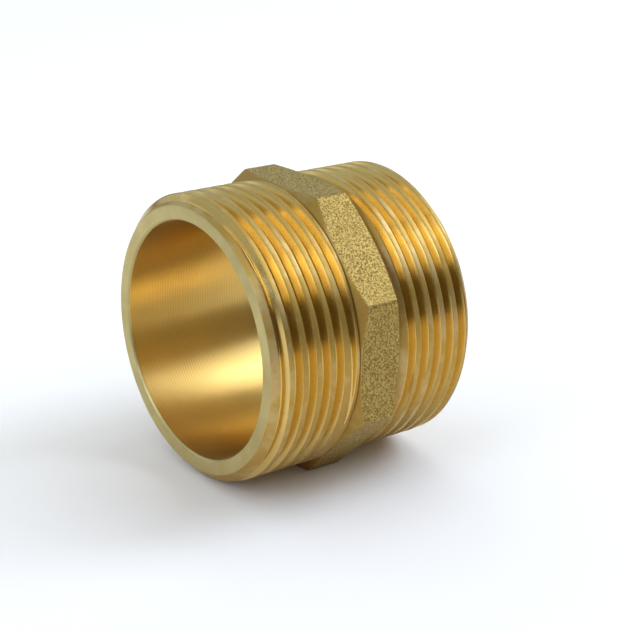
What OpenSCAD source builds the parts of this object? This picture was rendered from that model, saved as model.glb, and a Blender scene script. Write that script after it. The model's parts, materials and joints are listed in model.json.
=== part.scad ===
// Pipe nipple: two right-hand pipe threads either side of an octagonal wrench collar, bored through.
// The bore axis lies along X, the front end points to -X, +Z is up with the nipple lying on a flat,
// and the origin is on the bore axis at the middle of the collar. All lengths are in millimetres.

/* [Thread] */
// Diameter over the thread crests
thread_d = 41.91; // [30:0.01:60]
// Distance along the axis from one thread turn to the next
thread_pitch = 2.309; // [2:0.001:3]
// Angle between the two flanks of the groove
flank_angle = 55; // [50:1:60]
// Width of the flat left on top of each turn
crest_flat = 0.8; // [0.5:0.01:1]
// Width of the flat at the bottom of the groove
root_flat = 0.3; // [0.1:0.01:0.4]
// Length of the front thread, from its end face to the collar
front_thread_length = 14; // [8:0.1:30]
// Length of the rear thread, from the collar to its end face
rear_thread_length = 14; // [8:0.1:30]
// Where the front groove enters its end face, in degrees round the axis from straight down
front_thread_start = 55; // [0:1:360]
// Where the rear groove enters its end face, in degrees round the axis from straight up
rear_thread_start = 248; // [0:1:360]
// Distance from the collar to the middle of the groove where the cutter leaves it
run_out_gap = 0.9; // [0.8:0.05:3]
// Share of a turn over which the cutter lifts out of the groove
run_out_turn = 0.2; // [0.1:0.05:1]
// Length of the lead-in cone at each end
lead_in_length = 1.5; // [0.8:0.05:1.8]
// Angle between the lead-in cone and the bore axis
lead_in_angle = 45; // [30:1:50]

/* [Barrel] */
// Metal kept between the barrel and the thread roots
thread_backing = 0.8; // [0.5:0.05:1.5]
// Wall of the barrel, between the bore and the threaded zones round it
barrel_wall = 1.7; // [1:0.1:6]
// Width of the broken edge at each mouth of the bore
bore_edge = 0.3; // [0.1:0.05:0.8]

/* [Wrench collar] */
// Number of flats round the collar
flat_count = 8; // [6:2:8]
// Height of the flats above the thread crests
flat_rise = 0.045; // [0.02:0.005:4]
// Length of the collar along the axis
collar_width = 7; // [4:0.1:16]
// Angle of the turned cones that bevel the collar's corners, from its side faces
corner_bevel_angle = 25; // [15:1:45]
// How far below the thread crests those cones start
bevel_depth = 0.4; // [0.1:0.05:0.8]

/* [Hidden] */
crest_r = thread_d / 2;
thread_depth = (thread_pitch - crest_flat - root_flat) / 2 / tan(flank_angle / 2);
root_r = crest_r - thread_depth;
seat_r = root_r - thread_backing;
bore_r = seat_r - barrel_wall;
end_face_r = crest_r - lead_in_length * tan(lead_in_angle);
flat_r = crest_r + flat_rise;
corner_r = flat_r / cos(180 / flat_count);
bevel_start_r = crest_r - bevel_depth;
// Radius to which the bevelling cones are drawn, clear of the corners that they cut
bevel_end_r = corner_r + bevel_depth;
bevel_length = (bevel_end_r - bevel_start_r) * tan(corner_bevel_angle);
collar_front_x = -collar_width / 2;
collar_rear_x = collar_width / 2;
front_end_x = collar_front_x - front_thread_length;
rear_end_x = collar_rear_x + rear_thread_length;
// The groove is swept in straight steps, and drawn this far above the crests to cut right through them
steps_per_turn = 40;
groove_overshoot = 0.3;
brass = "#c9a24a";
blasted_brass = "#b3a468";
$fn = 96;

// Turns a half section, drawn as [radius, place along the bore axis], round the X axis
module turned(section) {
    rotate([0, 90, 0])
        rotate_extrude()
            polygon(section);
}

// Bored tube that carries the collar and both threaded zones, with the inner part of the end faces
module barrel() {
    color(brass)
        turned([
            [bore_r + bore_edge, front_end_x],
            [seat_r, front_end_x],
            [seat_r, rear_end_x],
            [bore_r + bore_edge, rear_end_x],
            [bore_r, rear_end_x - bore_edge],
            [bore_r, front_end_x + bore_edge]
        ]);
}

// Octagonal band for the wrench, with its corners bevelled by a turned cone on each side
module wrench_collar() {
    color(blasted_brass)
        intersection() {
            rotate([0, 90, 0])
                rotate([0, 0, 180 / flat_count])
                    difference() {
                        cylinder(h = collar_width, r = corner_r, center = true, $fn = flat_count);
                        cylinder(h = 2 * collar_width, r = seat_r, center = true);
                    }
            turned([
                [0, collar_front_x],
                [bevel_start_r, collar_front_x],
                [bevel_end_r, collar_front_x + bevel_length],
                [bevel_end_r, collar_rear_x - bevel_length],
                [bevel_start_r, collar_rear_x],
                [0, collar_rear_x]
            ]);
        }
}

// Section of the groove, as [radius, place along the axis from its middle], lifted where the cutter leaves
function groove_section(lift) = let(
        top_r = crest_r + groove_overshoot,
        half_top = (thread_pitch - crest_flat) / 2 + groove_overshoot * tan(flank_angle / 2))
    [[root_r + lift, -root_flat / 2],
     [root_r + lift, root_flat / 2],
     [top_r + lift, half_top],
     [top_r + lift, -half_top]];

// Right-hand groove wound round the Z axis, from one turn below z = 0 to where it fades out at z = length
module groove(length) {
    last_turn = length / thread_pitch;
    steps = ceil((last_turn + 1) * steps_per_turn);
    full_lift = thread_depth + groove_overshoot;
    points = [for (i = [0 : steps])
        let(turn = (last_turn + 1) * i / steps - 1,
            lift = full_lift * max(0, 1 - (last_turn - turn) / run_out_turn))
        for (p = groove_section(lift))
            [p[0] * cos(360 * turn), p[0] * sin(360 * turn), p[1] + thread_pitch * turn]];
    sides = [for (i = [0 : steps - 1], k = [0 : 3])
        let(a = 4 * i + k, b = 4 * i + (k + 1) % 4)
        for (face = [[a, b + 4, b], [a, a + 4, b + 4]]) face];
    ends = [[0, 1, 2, 3], [for (k = [3 : -1 : 0]) 4 * steps + k]];
    polyhedron(points, concat(sides, ends));
}

// Threaded zone standing on its end face at z = 0: a turned sleeve with the groove cut into it
module threaded_zone(length, start_angle) {
    difference() {
        rotate_extrude()
            polygon([
                [seat_r, 0],
                [end_face_r, 0],
                [crest_r, lead_in_length],
                [crest_r, length],
                [seat_r, length]
            ]);
        rotate([0, 0, start_angle])
            groove(length - run_out_gap);
    }
}

module front_thread() {
    color(brass)
        translate([front_end_x, 0, 0])
            rotate([0, 90, 0])
                threaded_zone(front_thread_length, front_thread_start);
}

module rear_thread() {
    color(brass)
        translate([rear_end_x, 0, 0])
            rotate([0, -90, 0])
                threaded_zone(rear_thread_length, rear_thread_start);
}

barrel();
wrench_collar();
front_thread();
rear_thread();
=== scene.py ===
"""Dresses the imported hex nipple: the bored barrel, the two threaded ends and the blasted wrench collar."""

import json
import math

import bmesh
import bpy
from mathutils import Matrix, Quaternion, Vector


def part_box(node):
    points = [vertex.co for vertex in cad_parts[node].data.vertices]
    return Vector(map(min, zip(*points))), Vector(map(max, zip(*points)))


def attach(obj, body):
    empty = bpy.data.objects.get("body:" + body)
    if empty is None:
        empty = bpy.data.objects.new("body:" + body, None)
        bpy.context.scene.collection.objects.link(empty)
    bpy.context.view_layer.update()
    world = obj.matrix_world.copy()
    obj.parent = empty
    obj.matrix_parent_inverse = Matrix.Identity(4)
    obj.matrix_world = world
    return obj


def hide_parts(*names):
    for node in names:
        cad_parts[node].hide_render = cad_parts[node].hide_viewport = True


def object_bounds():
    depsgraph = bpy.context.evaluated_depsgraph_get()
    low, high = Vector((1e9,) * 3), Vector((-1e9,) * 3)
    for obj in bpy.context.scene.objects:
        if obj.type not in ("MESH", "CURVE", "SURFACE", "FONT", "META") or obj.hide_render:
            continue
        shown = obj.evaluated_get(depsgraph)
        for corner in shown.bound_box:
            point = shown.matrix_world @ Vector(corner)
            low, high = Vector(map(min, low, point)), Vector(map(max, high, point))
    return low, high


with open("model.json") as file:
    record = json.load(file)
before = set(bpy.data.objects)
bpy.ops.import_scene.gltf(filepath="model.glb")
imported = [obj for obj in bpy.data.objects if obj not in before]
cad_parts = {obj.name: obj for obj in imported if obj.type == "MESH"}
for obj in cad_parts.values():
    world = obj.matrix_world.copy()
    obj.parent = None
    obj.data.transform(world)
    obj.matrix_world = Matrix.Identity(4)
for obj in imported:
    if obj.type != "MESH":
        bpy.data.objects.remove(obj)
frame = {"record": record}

bl_info = {
    "name": "Brass hex nipple",
    "version": (1, 0, 0),
    "blender": (4, 5, 0),
    "location": "View3D > Sidebar > Nipple",
    "description": "Makes the pieces of a threaded brass pipe nipple and its studio",
    "category": "Object",
}

MM = 0.001
FULL_TURN = 2 * math.pi
CAD_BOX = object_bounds()
MOUNTS = {mount["name"]: mount for mount in frame["record"]["mounts"]}
BARREL_LOW, BARREL_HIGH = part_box("barrel")
COLLAR_LOW, COLLAR_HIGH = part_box("wrench_collar")

# Facets in one full turn of every turned surface.
TURN_STEPS = 192
# Two points nearer than this are one point.
SAME_POINT = 1e-7
# Faces that meet at less than this angle are shaded as one.
SMOOTH_ANGLE = math.radians(28)
# Places along an eased corner, from its start to its end.
EASE_PLACES = (0, 0.33, 0.67, 1)

# Steps in each rounding of the threading tool's outline.
ARC_STEPS = 4
# Points of that outline from its top down to the flank, on each side: they round the edge of a crest.
SHOULDER_POINTS = ARC_STEPS + 3
# The outline leaves a crest at this slope and ends this far above it, so that the crest's edge is round.
SHOULDER_SLOPE = math.radians(12)
SHOULDER_RISE = 0.012 * MM
# Height of the tool above the crests.
TOOL_HEIGHT = 0.6 * MM
# Turns that the tool makes in the air before it meets the end face.
LEAD_TURNS = 1.5
# Part of a turn over which the tool leaves the work, and how far it then clears the crests.
LIFT_TURNS = 0.22
LIFT_CLEAR = 0.05 * MM

# A wave texture has this many radians of wave in one unit of its scale.
WAVES_IN_A_UNIT = 20
# A noise pattern keeps mostly between these two values.
NOISE_RANGE = {"From Min": 0.3, "From Max": 0.7}
# Turns the blur of a reflection from along the lathe's lines to across them.
QUARTER_TURN = 0.25

# Brightness that the floor adds to its own lit colour, and how far the part's shade reaches into it.
FLOOR_GLOW = 0.24
SHADE_REACH = 45 * MM
# Name, place, width, height, brightness and tint of each softbox; all of them face the part.
SOFTBOXES = (
    ("key_softbox", (0.345, -0.270, 0.480), 0.46, 0.34, 2.35, "#DCE8FF"),
    ("overhead_softbox", (0.271, 0.088, 0.584), 0.36, 0.2, 2.6, "#F2F7FF"),
    ("right_softbox", (0.506, -0.117, 0.391), 0.28, 0.35, 5.4, "#E6EFFF"),
    ("left_softbox", (-0.525, -0.074, 0.282), 0.21, 0.36, 4.2, "#D8E6FF"),
    ("back_left_softbox", (-0.414, 0.324, 0.382), 0.74, 0.52, 0.65, "#D6E8F6"),
    ("back_softbox", (0.476, 0.493, 0.305), 0.75, 0.72, 0.75, "#DAF0F2"),
    ("rear_softbox", (-0.090, 0.680, 0.250), 0.58, 0.46, 0.75, "#D4E6FF"),
    ("top_softbox", (0.065, 0.367, 0.533), 0.4, 0.4, 0.7, "#DCE9FF"),
    ("upper_left_softbox", (-0.33, 0.02, 0.56), 0.45, 0.45, 0.6, "#F0F6FF"),
)
# The dim room round the softboxes.
ROOM_TINT = "#F4F3F0"
ROOM_STRENGTH = 0.15
CAMERA_PLACE = (-0.130077, -0.175153, 0.084307)
CAMERA_LOOK = Vector((0.56859, 0.74026, -0.35878))
CAMERA_ROLL = math.radians(1.738)
CAMERA_LENS = 90.51
CAMERA_SENSOR = 36


def length(name, description, default):
    return bpy.props.FloatProperty(
        name=name, description=description, default=default, unit="LENGTH", precision=6
    )


def angle(name, description, degrees):
    return bpy.props.FloatProperty(
        name=name, description=description, default=math.radians(degrees), subtype="ANGLE"
    )


def colour(name, description, default):
    return bpy.props.StringProperty(name=name, description=description, default=default, maxlen=7)


class NippleSizes(bpy.types.PropertyGroup):
    """Sizes of the nipple"""

    bore_radius: length("Bore radius", "Radius of the straight bore", MOUNTS["bore"]["dims"]["r_mm"] * MM)
    bore_edge: length("Bore edge", "Broken edge at each mouth of the bore", 0.3 * MM)
    witness_at: length("Witness place", "Place of the faint ring in the bore along the axis", -1.9 * MM)
    seat_radius: length("Seat radius", "Radius where the barrel meets the outer zones", BARREL_HIGH.z)
    crest_radius: length("Crest radius", "Outside of the thread", MOUNTS["front_thread"]["dims"]["r_mm"] * MM)
    pitch: length("Pitch", "Distance from one crest to the next", 2.309 * MM)
    thread_depth: length("Thread depth", "From crest to root", 1.161 * MM)
    crest_flat: length("Crest flat", "Flat between two grooves, before its edges are rounded", 0.8 * MM)
    crest_round: length("Crest rounding", "Radius on the edges of a crest", 0.1 * MM)
    root_round: length("Root rounding", "Radius at the bottom of the groove", 0.26 * MM)
    flank_angle: angle("Flank angle", "Angle between the two flanks of the groove", 55)
    lead_in: length("Lead-in", "Length of the cone at each end", 1.5 * MM)
    run_out: length("Run-out", "Distance of the last groove from the collar", 0.9 * MM)
    front_start: angle("Front start", "Where the front groove enters, from the side that faces -Y", 215)
    rear_start: angle("Rear start", "Where the rear groove enters, from the side that faces -Y", 338)
    neck_width: length("Neck width", "Relief between the collar and the rear thread", 1.35 * MM)
    neck_depth: length("Neck depth", "Depth of that relief below the crests", 1.05 * MM)
    flat_radius: length("Flat radius", "From the axis to a wrench flat", COLLAR_HIGH.z - 0.004 * MM)
    bevel_depth: length("Bevel depth", "How far inside the flats the corner bevel starts", 0.4 * MM)
    bevel_angle: angle("Bevel angle", "Slope of the corner bevel", 25)
    corner_round: length("Corner rounding", "Width of a collar corner's rounding, to one side", 0.35 * MM)
    flat_count: bpy.props.IntProperty(name="Flats", description="Number of wrench flats", default=8, min=4)


class NippleColours(bpy.types.PropertyGroup):
    """Colours of the nipple's finishes and of the floor"""

    cut: colour("Cut brass", "Flanks and roots of the threads", "#D9BA70")
    # Darker tint at the bottom of the grooves: painted shade in the recess.
    cut_deep: colour("Cut brass, deep", "Bottom of the grooves", "#D3B064")
    faced: colour("Faced brass", "End faces", "#C7B67C")
    faced_dull: colour("Faced brass, dull", "Older patches on the end faces", "#BBA970")
    rubbed: colour("Rubbed brass", "Crests, cones, neck and corner bevels", "#B6934A")
    # Pale tint of the worn patches; where one falls on the upper front of the crests it is a painted
    # highlight.
    rubbed_pale: colour("Rubbed brass, pale", "Worn patches on the crests", "#C2A66C")
    rubbed_pink: colour("Rubbed brass, pink", "Patches with a breath of copper", "#C09668")
    bored: colour("Bored brass", "Wall of the bore", "#E5C476")
    bored_dull: colour("Bored brass, dull", "Dull stains in the bore", "#CCA856")
    blasted: colour("Blasted brass", "Wrench flats", "#C4A862")
    blasted_pit: colour("Blasted brass, pits", "Pits in the wrench flats", "#80682F")
    floor: colour("Floor", "Studio floor", "#F6F6F4")
    floor_glow: colour("Floor glow", "Tint of the glow that brings the floor up to white", "#FFF2E0")


def sizes():
    return bpy.context.scene.nipple_sizes


def linear(hex_colour):
    """An sRGB hex colour as the linear colour that a shader takes."""
    channels = [int(hex_colour[i:i + 2], 16) / 255 for i in (1, 3, 5)]
    return [c / 12.92 if c <= 0.04045 else ((c + 0.055) / 1.055) ** 2.4 for c in channels] + [1.0]


def add_node(tree, kind, inputs=None, links=None, **settings):
    """Adds a node with its settings, its fixed inputs and the sockets that feed it."""
    node = tree.nodes.new(kind)
    for name, value in settings.items():
        setattr(node, name, value)
    for socket, value in (inputs or {}).items():
        node.inputs[socket].default_value = value
    for socket, source in (links or {}).items():
        tree.links.new(source, node.inputs[socket])
    return node


def set_stops(ramp, stops):
    """Gives a colour ramp its (place, hex colour) stops."""
    elements = ramp.color_ramp.elements
    while len(elements) < len(stops):
        elements.new(1.0)
    for element, (place, hex_colour) in zip(elements, stops):
        element.position = place
        element.color = linear(hex_colour)


def new_material(name):
    material = bpy.data.materials.new(name)
    material.use_nodes = True
    material.node_tree.nodes.clear()
    return material


def lathe_place(tree):
    """The place in space, and on a turned part: (along the axis, distance from the axis, 0)."""
    place = add_node(tree, "ShaderNodeTexCoord").outputs["Object"]
    parts = add_node(tree, "ShaderNodeSeparateXYZ", links={0: place})
    across = add_node(tree, "ShaderNodeCombineXYZ", links={1: parts.outputs["Y"], 2: parts.outputs["Z"]})
    radius = add_node(tree, "ShaderNodeVectorMath", operation="LENGTH", links={0: across.outputs[0]})
    lathe = add_node(
        tree, "ShaderNodeCombineXYZ", links={0: parts.outputs["X"], 1: radius.outputs["Value"]}
    )
    return place, lathe.outputs[0]


def end_in_brass(tree, tint, shine, height, strength, depth, anisotropic=None):
    """Ends a material in bare brass; where the lathe left lines, they blur a reflection across themselves."""
    bump = add_node(
        tree, "ShaderNodeBump", links={"Height": height.outputs[0]},
        inputs={"Strength": strength, "Distance": depth},
    )
    inputs = {"Metallic": 1.0}
    links = {"Base Color": tint.outputs[0], "Roughness": shine.outputs[0], "Normal": bump.outputs[0]}
    if anisotropic:
        along = add_node(tree, "ShaderNodeTangent", direction_type="RADIAL", axis="X")
        inputs.update({"Anisotropic": anisotropic, "Anisotropic Rotation": QUARTER_TURN})
        links["Tangent"] = along.outputs[0]
    shader = add_node(tree, "ShaderNodeBsdfPrincipled", inputs=inputs, links=links)
    add_node(tree, "ShaderNodeOutputMaterial", links={"Surface": shader.outputs[0]})


def faced_brass(colours):
    """Brass faced on the lathe and a little dulled: a pale khaki sheen, drawn out by fine rings."""
    material = new_material("faced_brass")
    tree = material.node_tree
    place, lathe = lathe_place(tree)
    # Feed lines round the face, 0.22 mm apart: about twice as coarse as real ones, so that they show.
    lines = add_node(
        tree, "ShaderNodeTexNoise", links={"Vector": lathe},
        inputs={"Scale": 1 / (0.22 * MM), "Detail": 3.0, "Roughness": 0.6},
    )
    # Handling has dulled it in patches some 5 mm across.
    patches = add_node(
        tree, "ShaderNodeTexNoise", links={"Vector": place},
        inputs={"Scale": 1 / (5 * MM), "Detail": 4.0, "Roughness": 0.6},
    )
    tint = add_node(tree, "ShaderNodeValToRGB", links={"Fac": patches.outputs["Fac"]})
    set_stops(tint, ((0.35, colours.faced_dull), (0.65, colours.faced)))
    shine = add_node(
        tree, "ShaderNodeMapRange", links={"Value": patches.outputs["Fac"]},
        inputs={**NOISE_RANGE, "To Min": 0.46, "To Max": 0.38},
    )
    end_in_brass(tree, tint, shine, lines, strength=0.8, depth=0.012 * MM, anisotropic=0.5)
    return material


def rubbed_brass(colours):
    """Brass that other fittings have rubbed: a soft brown-gold sheen, paler or pinker in patches; one pale
    patch is a painted highlight.
    """
    material = new_material("rubbed_brass")
    tree = material.node_tree
    place, lathe = lathe_place(tree)
    # Feed lines round the part, 0.2 mm apart: about twice as coarse as real ones, so that they show.
    lines = add_node(
        tree, "ShaderNodeTexNoise", links={"Vector": lathe},
        inputs={"Scale": 1 / (0.2 * MM), "Detail": 3.0, "Roughness": 0.6},
    )
    # Wear comes in patches some 6 mm across. The seed W is set so that a pale patch falls on the upper front
    # of the crests, where the highlight lies: there the pale tint is a painted highlight; elsewhere the
    # patches are random wear.
    worn = add_node(
        tree, "ShaderNodeTexNoise", links={"Vector": place}, noise_dimensions="4D",
        inputs={"Scale": 1 / (6 * MM), "Detail": 4.0, "Roughness": 0.6, "W": 1.3},
    )
    tint = add_node(tree, "ShaderNodeValToRGB", links={"Fac": worn.outputs["Fac"]})
    set_stops(tint, ((0.5, colours.rubbed), (0.62, colours.rubbed_pale), (0.72, colours.rubbed_pink)))
    shine = add_node(
        tree, "ShaderNodeMapRange", links={"Value": worn.outputs["Fac"]},
        inputs={**NOISE_RANGE, "To Min": 0.54, "To Max": 0.44},
    )
    end_in_brass(tree, tint, shine, lines, strength=0.8, depth=0.01 * MM, anisotropic=0.3)
    return material


def cut_brass(colours):
    """Freshly cut brass in the thread grooves: bright and yellow, with painted shade that darkens it a little
    towards the root.
    """
    material = new_material("cut_brass")
    tree = material.node_tree
    place, lathe = lathe_place(tree)
    # The threading tool's lines round the groove, 0.15 mm apart: coarser than real ones, so that they show.
    lines = add_node(
        tree, "ShaderNodeTexNoise", links={"Vector": lathe},
        inputs={"Scale": 1 / (0.15 * MM), "Detail": 2.0, "Roughness": 0.5},
    )
    # Light stains some 3 mm across.
    stains = add_node(
        tree, "ShaderNodeTexNoise", links={"Vector": place},
        inputs={"Scale": 1 / (3 * MM), "Detail": 3.0, "Roughness": 0.6},
    )
    s = sizes()
    radius = add_node(tree, "ShaderNodeSeparateXYZ", links={0: lathe}).outputs["Y"]
    height_on_flank = add_node(
        tree, "ShaderNodeMapRange", links={"Value": radius},
        inputs={"From Min": s.crest_radius - s.thread_depth, "From Max": s.crest_radius},
    )
    # The colour darkens from crest to root: painted shade in the groove.
    tint = add_node(
        tree, "ShaderNodeMixRGB", links={"Fac": height_on_flank.outputs[0]},
        inputs={"Color1": linear(colours.cut_deep), "Color2": linear(colours.cut)},
    )
    shine = add_node(
        tree, "ShaderNodeMapRange", links={"Value": stains.outputs["Fac"]},
        inputs={**NOISE_RANGE, "To Min": 0.17, "To Max": 0.25},
    )
    end_in_brass(tree, tint, shine, lines, strength=0.5, depth=0.006 * MM, anisotropic=0.6)
    return material


def ring_bored_brass(colours):
    """Bored brass: fine rings from the boring bar stretch each reflection along the bore."""
    material = new_material("ring_bored_brass")
    tree = material.node_tree
    place, lathe = lathe_place(tree)
    # Rings of the boring bar, 0.45 mm apart, with scratches 0.3 mm wide: both coarser than real, to show.
    rings = add_node(
        tree, "ShaderNodeTexWave", links={"Vector": lathe}, bands_direction="X",
        inputs={"Scale": FULL_TURN / WAVES_IN_A_UNIT / (0.45 * MM), "Distortion": 1.0, "Detail": 2.0},
    )
    scratches = add_node(
        tree, "ShaderNodeTexNoise", links={"Vector": lathe},
        inputs={"Scale": 1 / (0.3 * MM), "Detail": 3.0, "Roughness": 0.6},
    )
    height = add_node(
        tree, "ShaderNodeMath", operation="ADD", links={0: rings.outputs["Fac"], 1: scratches.outputs["Fac"]}
    )
    # Dull stains some 8 mm across, which show on the rings.
    stains = add_node(
        tree, "ShaderNodeTexNoise", links={"Vector": place},
        inputs={"Scale": 1 / (8 * MM), "Detail": 3.0, "Roughness": 0.55},
    )
    worn = add_node(
        tree, "ShaderNodeMath", operation="MULTIPLY",
        links={0: stains.outputs["Fac"], 1: rings.outputs["Fac"]},
    )
    tint = add_node(
        tree, "ShaderNodeMixRGB", links={"Fac": worn.outputs[0]},
        inputs={"Color1": linear(colours.bored), "Color2": linear(colours.bored_dull)},
    )
    shine = add_node(
        tree, "ShaderNodeMapRange", links={"Value": stains.outputs["Fac"]},
        inputs={**NOISE_RANGE, "To Min": 0.32, "To Max": 0.38},
    )
    end_in_brass(tree, tint, shine, height, strength=0.4, depth=0.006 * MM, anisotropic=0.85)
    return material


def shot_blasted_brass(colours):
    """Blasted brass: an even satin of small pits, which glints in specks and has no clear reflection."""
    material = new_material("shot_blasted_brass")
    tree = material.node_tree
    place = add_node(tree, "ShaderNodeTexCoord").outputs["Object"]
    # Pits about 0.26 mm across: coarser than real ones, so that they show.
    pits = add_node(
        tree, "ShaderNodeTexNoise", links={"Vector": place},
        inputs={"Scale": 1 / (0.26 * MM), "Detail": 4.0, "Roughness": 0.75},
    )
    # A narrow range sets each pit off from the metal between the pits.
    pit_range = {"From Min": 0.41, "From Max": 0.59}
    spread = add_node(tree, "ShaderNodeMapRange", links={"Value": pits.outputs["Fac"]}, inputs=pit_range)
    tint = add_node(
        tree, "ShaderNodeMixRGB", links={"Fac": spread.outputs[0]},
        inputs={"Color1": linear(colours.blasted_pit), "Color2": linear(colours.blasted)},
    )
    shine = add_node(
        tree, "ShaderNodeMapRange", links={"Value": pits.outputs["Fac"]},
        inputs={**pit_range, "To Min": 0.62, "To Max": 0.48},
    )
    end_in_brass(tree, tint, shine, pits, strength=0.9, depth=0.06 * MM)
    return material


def studio_floor(colours):
    """Matt white board, which the camera and the brass see as white while it still takes the shadow."""
    material = new_material("studio_floor")
    tree = material.node_tree
    ray = add_node(tree, "ShaderNodeLightPath")
    seen = add_node(
        tree, "ShaderNodeMath", operation="MAXIMUM",
        links={0: ray.outputs["Is Camera Ray"], 1: ray.outputs["Is Glossy Ray"]},
    )
    seen = add_node(
        tree, "ShaderNodeMath", operation="MAXIMUM",
        links={0: seen.outputs[0], 1: ray.outputs["Is Transmission Ray"]},
    )
    # The glow fades under the part, where the board is in its shade: ambient occlusion paints this shadow
    # into the glow.
    open_sky = add_node(tree, "ShaderNodeAmbientOcclusion", inputs={"Distance": SHADE_REACH}, samples=8)
    lit = add_node(
        tree, "ShaderNodeMath", operation="MULTIPLY", inputs={1: FLOOR_GLOW}, links={0: seen.outputs[0]}
    )
    glow = add_node(
        tree, "ShaderNodeMath", operation="MULTIPLY", links={0: lit.outputs[0], 1: open_sky.outputs["AO"]}
    )
    matt = add_node(tree, "ShaderNodeBsdfDiffuse", inputs={"Color": linear(colours.floor)})
    light = add_node(
        tree, "ShaderNodeEmission", inputs={"Color": linear(colours.floor_glow)},
        links={"Strength": glow.outputs[0]},
    )
    both = add_node(tree, "ShaderNodeAddShader", links={0: matt.outputs[0], 1: light.outputs[0]})
    # Only the rays that see the board meet its glow; it isn't sampled as a lamp.
    material.cycles.emission_sampling = "NONE"
    add_node(tree, "ShaderNodeOutputMaterial", links={"Surface": both.outputs[0]})
    return material


# Finishes of a threaded end, in the order of its material slots.
THREAD_FINISHES = (rubbed_brass, cut_brass, faced_brass)


def finish(maker):
    """A finish is made once and then shared by the pieces that have it."""
    found = bpy.data.materials.get(maker.__name__)
    return found or maker(bpy.context.scene.nipple_colours)


def around(x, radius, turn):
    """A point at a place on the axis and an angle that starts at -Y and goes up."""
    return Vector((x, -radius * math.cos(turn), radius * math.sin(turn)))


def eased(section, eases):
    """Rounds chosen corners of a section of (x, radius) points; eases gives the size by corner number."""
    points = []
    for i, corner in enumerate(section):
        if i not in eases:
            points.append(corner)
            continue
        here = Vector(corner)
        before = Vector(section[i - 1]) - here
        after = Vector(section[(i + 1) % len(section)]) - here
        start = here + before.normalized() * eases[i]
        end = here + after.normalized() * eases[i]
        for t in EASE_PLACES:
            points.append(tuple(start * (1 - t) ** 2 + here * 2 * t * (1 - t) + end * t ** 2))
    return points


def draw_section(name, section, turn):
    """Draws a closed section of (x, radius) points in the half plane at one angle round the axis."""
    corners = [around(x, radius, turn) for x, radius in section]
    bpy.ops.object.select_all(action="DESELECT")
    bpy.ops.mesh.primitive_plane_add(size=MM)
    piece = bpy.context.object
    piece.name = piece.data.name = name
    bpy.ops.object.mode_set(mode="EDIT")
    bpy.ops.mesh.merge(type="CENTER")
    bpy.ops.transform.translate(value=corners[0])
    for start, end in zip(corners, corners[1:]):
        bpy.ops.mesh.extrude_vertices_move(TRANSFORM_OT_translate={"value": end - start})
    shape = bmesh.from_edit_mesh(piece.data)
    shape.verts.ensure_lookup_table()
    for vertex in shape.verts:
        vertex.select_set(vertex.index in (0, len(corners) - 1))
    bmesh.update_edit_mesh(piece.data)
    bpy.ops.mesh.edge_face_add()
    bpy.ops.object.mode_set(mode="OBJECT")
    return piece


def turned(name, section, turn=0.0):
    """Spins a section round the axis into a closed ring."""
    piece = draw_section(name, section, turn)
    bpy.ops.object.mode_set(mode="EDIT")
    bpy.ops.mesh.select_all(action="SELECT")
    bpy.ops.mesh.spin(steps=TURN_STEPS, angle=FULL_TURN, center=(0, 0, 0), axis=(1, 0, 0))
    tidy_mesh()
    return piece


def tidy_mesh():
    """Merges doubles and turns every face outwards, then leaves edit mode."""
    bpy.ops.mesh.select_all(action="SELECT")
    bpy.ops.mesh.remove_doubles(threshold=SAME_POINT)
    bpy.ops.mesh.normals_make_consistent(inside=False)
    bpy.ops.object.mode_set(mode="OBJECT")


def select_only(piece):
    bpy.ops.object.select_all(action="DESELECT")
    piece.select_set(True)
    bpy.context.view_layer.objects.active = piece


def apply(piece, kind, **settings):
    """Adds a modifier to a piece and applies it."""
    select_only(piece)
    modifier = piece.modifiers.new(kind.lower(), kind)
    for name, value in settings.items():
        setattr(modifier, name, value)
    bpy.ops.object.modifier_apply(modifier=modifier.name)


def give_finishes(piece, *makers):
    for maker in makers:
        piece.data.materials.append(finish(maker))


def cut_with(piece, tool, operation):
    """Cuts a piece with a tool, which is then thrown away; the new faces keep the tool's finish."""
    apply(piece, "BOOLEAN", object=tool, operation=operation, solver="EXACT", material_mode="INDEX")
    bpy.data.objects.remove(tool)


def put_in_place(piece, node):
    """Smooths a finished piece and sets it in the frame."""
    select_only(piece)
    bpy.ops.object.shade_smooth_by_angle(angle=SMOOTH_ANGLE)
    # Large faces stay true to the eye right up to their eased edges.
    apply(piece, "WEIGHTED_NORMAL", mode="FACE_AREA", weight=100, keep_sharp=True)
    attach(piece, "root")
    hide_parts(node)


def groove_section():
    """The threading tool: (along the axis, radius) from its left shoulder round the root to its right one."""
    s = sizes()
    slant = math.pi / 2 - s.flank_angle / 2
    root = s.crest_radius - s.thread_depth
    half_open = (s.pitch - s.crest_flat) / 2
    centre_x = half_open + s.crest_round * math.tan(slant / 2)
    centre_r = s.crest_radius - s.crest_round
    right = []
    for k in range(ARC_STEPS + 1):
        t = slant * k / ARC_STEPS
        right.append((s.root_round * math.sin(t), root + s.root_round * (1 - math.cos(t))))
    for k in range(ARC_STEPS + 1):
        t = slant + (SHOULDER_SLOPE - slant) * k / ARC_STEPS
        right.append((centre_x - s.crest_round * math.sin(t), centre_r + s.crest_round * math.cos(t)))
    x, radius = right[-1]
    top = s.crest_radius + SHOULDER_RISE
    right.append((x + (top - radius) / math.tan(SHOULDER_SLOPE), top))
    right.append((right[-1][0], s.crest_radius + TOOL_HEIGHT))
    left = [(-x, radius) for x, radius in reversed(right[1:])]
    return left + right


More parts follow.
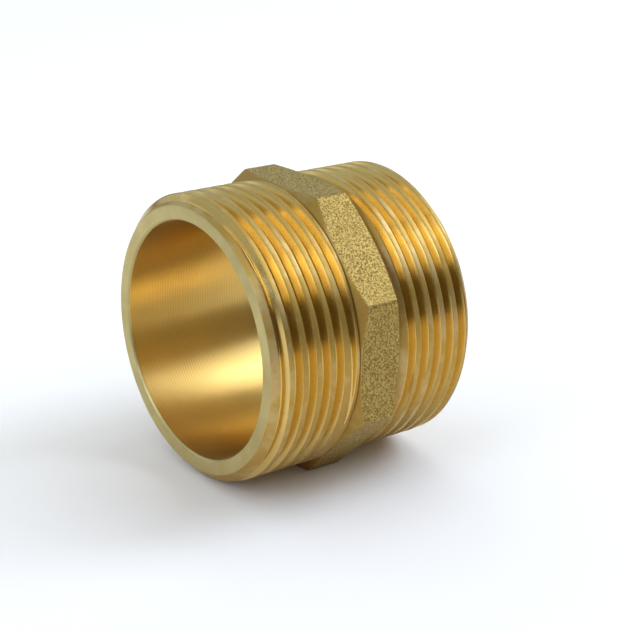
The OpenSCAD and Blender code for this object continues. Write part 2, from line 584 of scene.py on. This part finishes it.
def threading_tool(end_x, inward, start):
    """The path of the threading tool as a solid: a helix that lifts out at its inner end."""
    s = sizes()
    groove = abs(end_x) - COLLAR_HIGH.x - s.run_out
    steps = round((LEAD_TURNS + groove / s.pitch) * TURN_STEPS)
    turns = steps / TURN_STEPS
    section = [(end_x - inward * LEAD_TURNS * s.pitch + x, radius) for x, radius in groove_section()]
    tool = draw_section("threading_tool", section, start + inward * LEAD_TURNS * FULL_TURN)
    apply(
        tool, "SCREW", axis="X", angle=inward * turns * FULL_TURN, screw_offset=inward * turns * s.pitch,
        steps=steps, render_steps=steps, use_merge_vertices=False, use_smooth_shade=False,
    )
    # The rounded edges of a crest are rubbed like the crest; the rest of the groove is fresh.
    give_finishes(tool, *THREAD_FINISHES)
    for face in tool.data.polygons:
        places = [index % len(section) for index in face.vertices]
        shoulder = max(places) < SHOULDER_POINTS or min(places) >= len(section) - SHOULDER_POINTS
        face.material_index = THREAD_FINISHES.index(rubbed_brass if shoulder else cut_brass)
    # The tool leaves the work over the last part of a turn.
    lift_steps = round(LIFT_TURNS * TURN_STEPS)
    for vertex in tool.data.vertices:
        step = vertex.index // len(section)
        part = (step - (steps - lift_steps)) / lift_steps
        if part > 0:
            radius = math.hypot(vertex.co.y, vertex.co.z)
            grow = 1 + part ** 2 * (s.thread_depth + LIFT_CLEAR) / radius
            vertex.co.y *= grow
            vertex.co.z *= grow
    bpy.ops.object.mode_set(mode="EDIT")
    bpy.ops.mesh.select_all(action="SELECT")
    bpy.ops.mesh.fill_holes(sides=0)
    tidy_mesh()
    return tool


def threaded_end(node, end_x, collar_x, start, neck):
    """A threaded zone: a turned blank with a lead-in cone, cut by the threading tool."""
    s = sizes()
    inward = 1 if end_x < 0 else -1
    section = [
        (end_x, s.seat_radius),
        (end_x, s.crest_radius - s.lead_in),
        (end_x + inward * s.lead_in, s.crest_radius),
    ]
    # Broken edges, by corner of the section: the cone's small end and its large end.
    eases = {1: 0.1 * MM, 2: 0.12 * MM}
    if neck:
        low = s.crest_radius - s.neck_depth
        foot = 0.2 * MM
        section += [
            (collar_x - inward * s.neck_width, s.crest_radius),
            (collar_x - inward * foot, low),
            (collar_x, low),
        ]
        # The neck's top edge is broken, and its slope runs out softly at the foot.
        eases[3] = 0.08 * MM
        eases[4] = foot
    else:
        chamfer = 0.18 * MM
        section += [(collar_x - inward * chamfer, s.crest_radius), (collar_x, s.crest_radius - chamfer)]
    section += [(collar_x, s.seat_radius)]
    blank = turned(node + "_brass", eased(section, eases), start + inward * LEAD_TURNS * FULL_TURN)
    tool = threading_tool(end_x, inward, start)
    give_finishes(blank, *THREAD_FINISHES)
    # What stands square to the axis is faced.
    for face in blank.data.polygons:
        if abs(face.normal.x) > 0.9:
            face.material_index = THREAD_FINISHES.index(faced_brass)
    cut_with(blank, tool, "DIFFERENCE")
    put_in_place(blank, node)


class NIPPLE_OT_threads(bpy.types.Operator):
    """Turn and thread the two ends"""

    bl_idname = "nipple.threads"
    bl_label = "Threaded ends"

    def execute(self, context):
        s = sizes()
        threaded_end("front_thread", BARREL_LOW.x, COLLAR_LOW.x, s.front_start, neck=False)
        threaded_end("rear_thread", BARREL_HIGH.x, COLLAR_HIGH.x, s.rear_start, neck=True)
        return {"FINISHED"}


class NIPPLE_OT_barrel(bpy.types.Operator):
    """Turn the bored barrel with its end faces"""

    bl_idname = "nipple.barrel"
    bl_label = "Bored barrel"

    def execute(self, context):
        s = sizes()
        left, right = BARREL_LOW.x, BARREL_HIGH.x
        mouth = s.bore_radius + s.bore_edge
        # A faint ring where the cuts from the two ends meet.
        ring_depth = 0.015 * MM
        ring_half = 0.16 * MM
        section = [
            (left, s.seat_radius), (left, mouth), (left + s.bore_edge, s.bore_radius),
            (s.witness_at - ring_half, s.bore_radius), (s.witness_at, s.bore_radius + ring_depth),
            (s.witness_at + ring_half, s.bore_radius),
            (right - s.bore_edge, s.bore_radius), (right, mouth), (right, s.seat_radius),
        ]
        ease = 0.07 * MM
        barrel = turned("bored_barrel", eased(section, {1: ease, 2: ease, 6: ease, 7: ease}))
        give_finishes(barrel, ring_bored_brass, faced_brass)
        # The end faces and the broken edges are faced, and so is the seat under the outer zones.
        near_seat = s.seat_radius - 0.1 * MM
        for face in barrel.data.polygons:
            outside = abs(face.normal.x) > 0.5 or face.center.yz.length > near_seat
            face.material_index = 1 if outside else 0
        put_in_place(barrel, "barrel")
        return {"FINISHED"}


class NIPPLE_OT_collar(bpy.types.Operator):
    """Mill the flats of the wrench collar and bevel its corners"""

    bl_idname = "nipple.collar"
    bl_label = "Wrench collar"

    def execute(self, context):
        s = sizes()
        left, right = COLLAR_LOW.x, COLLAR_HIGH.x
        corner = s.flat_radius / math.cos(math.pi / s.flat_count)
        bevel_start = s.flat_radius - s.bevel_depth
        # The blank's bevels end a little outside the corners, which the bar then cuts.
        bevel_end = corner + 0.2 * MM
        run = (bevel_end - bevel_start) * math.tan(s.bevel_angle)
        section = [
            (left, s.seat_radius), (left, bevel_start), (left + run, bevel_end),
            (right - run, bevel_end), (right, bevel_start), (right, s.seat_radius),
        ]
        ease = 0.1 * MM
        collar = turned("wrench_collar_brass", eased(section, {1: ease, 4: ease}))
        bpy.ops.object.select_all(action="DESELECT")
        bpy.ops.mesh.primitive_cylinder_add(vertices=s.flat_count, radius=corner, depth=2 * (right - left))
        bar = bpy.context.object
        bpy.ops.object.mode_set(mode="EDIT")
        bpy.ops.mesh.select_all(action="SELECT")
        bpy.ops.transform.rotate(value=math.pi / s.flat_count, orient_axis="Z", center_override=(0, 0, 0))
        bpy.ops.transform.rotate(value=math.pi / 2, orient_axis="Y", center_override=(0, 0, 0))
        bpy.ops.object.mode_set(mode="OBJECT")
        apply(
            bar, "BEVEL", width=s.corner_round, segments=5, limit_method="ANGLE",
            angle_limit=math.radians(30), offset_type="OFFSET",
        )
        give_finishes(collar, rubbed_brass, shot_blasted_brass)
        give_finishes(bar, rubbed_brass, shot_blasted_brass)
        for face in bar.data.polygons:
            face.material_index = 1
        cut_with(collar, bar, "INTERSECT")
        # Blasting has softened the edges where flats and bevels meet.
        edge_round = 0.09 * MM
        apply(
            collar, "BEVEL", width=edge_round, segments=2, limit_method="ANGLE",
            angle_limit=math.radians(14), offset_type="OFFSET", use_clamp_overlap=True,
        )
        put_in_place(collar, "wrench_collar")
        return {"FINISHED"}


def aim(thing, target, roll=0.0):
    """Turns a lamp or the camera to face a point, its top upwards, then rolls it."""
    turn = (Vector(target) - thing.location).to_track_quat("-Z", "Y") @ Quaternion((0, 0, 1), roll)
    thing.rotation_euler = turn.to_euler()


def softbox(name, place, wide, tall, glow, tint):
    """A flat lamp whose face has a given brightness, turned to the middle of the part."""
    bpy.ops.object.light_add(type="AREA", location=place)
    lamp = bpy.context.object
    lamp.name = name
    lamp.data.shape = "RECTANGLE"
    lamp.data.size = wide
    lamp.data.size_y = tall
    lamp.data.energy = glow * math.pi * wide * tall
    lamp.data.color = linear(tint)[:3]
    lamp.visible_camera = False
    aim(lamp, (0, 0, 0))


class NIPPLE_OT_stage(bpy.types.Operator):
    """Lay the floor, hang the lamps and set the camera"""

    bl_idname = "nipple.stage"
    bl_label = "Stage"

    def execute(self, context):
        scene = context.scene
        colours = scene.nipple_colours
        scene.view_settings.view_transform = "Standard"

        bpy.ops.object.select_all(action="DESELECT")
        bpy.ops.mesh.primitive_plane_add(size=4, location=(0, 0, CAD_BOX[0][2]))
        floor = context.object
        floor.name = "floor"
        floor.data.materials.append(studio_floor(colours))

        for box in SOFTBOXES:
            softbox(*box)

        world = bpy.data.worlds.new("studio")
        scene.world = world
        world.use_nodes = True
        back = world.node_tree.nodes["Background"]
        back.inputs["Color"].default_value = linear(ROOM_TINT)
        back.inputs["Strength"].default_value = ROOM_STRENGTH

        bpy.ops.object.camera_add(location=CAMERA_PLACE)
        camera = context.object
        camera.name = "camera"
        camera.data.lens = CAMERA_LENS
        camera.data.sensor_width = CAMERA_SENSOR
        camera.data.clip_start = 0.01
        aim(camera, camera.location + CAMERA_LOOK, roll=CAMERA_ROLL)
        scene.camera = camera
        return {"FINISHED"}


class NIPPLE_PT_panel(bpy.types.Panel):
    """Lists the steps, the sizes and the colours"""

    bl_idname = "NIPPLE_PT_panel"
    bl_label = "Brass hex nipple"
    bl_space_type = "VIEW_3D"
    bl_region_type = "UI"
    bl_category = "Nipple"

    def draw(self, context):
        layout = self.layout
        for operator in OPERATORS:
            layout.operator(operator.bl_idname)
        for group in (context.scene.nipple_sizes, context.scene.nipple_colours):
            box = layout.box()
            for name in group.__annotations__:
                box.prop(group, name)


OPERATORS = (NIPPLE_OT_stage, NIPPLE_OT_barrel, NIPPLE_OT_threads, NIPPLE_OT_collar)
CLASSES = (NippleSizes, NippleColours, *OPERATORS, NIPPLE_PT_panel)


def register():
    for cls in CLASSES:
        bpy.utils.register_class(cls)
    bpy.types.Scene.nipple_sizes = bpy.props.PointerProperty(type=NippleSizes)
    bpy.types.Scene.nipple_colours = bpy.props.PointerProperty(type=NippleColours)


def unregister():
    del bpy.types.Scene.nipple_colours
    del bpy.types.Scene.nipple_sizes
    for cls in reversed(CLASSES):
        bpy.utils.unregister_class(cls)


def main():
    register()
    bpy.ops.nipple.stage()
    bpy.ops.nipple.barrel()
    bpy.ops.nipple.threads()
    bpy.ops.nipple.collar()


if __name__ == "__main__":
    main()
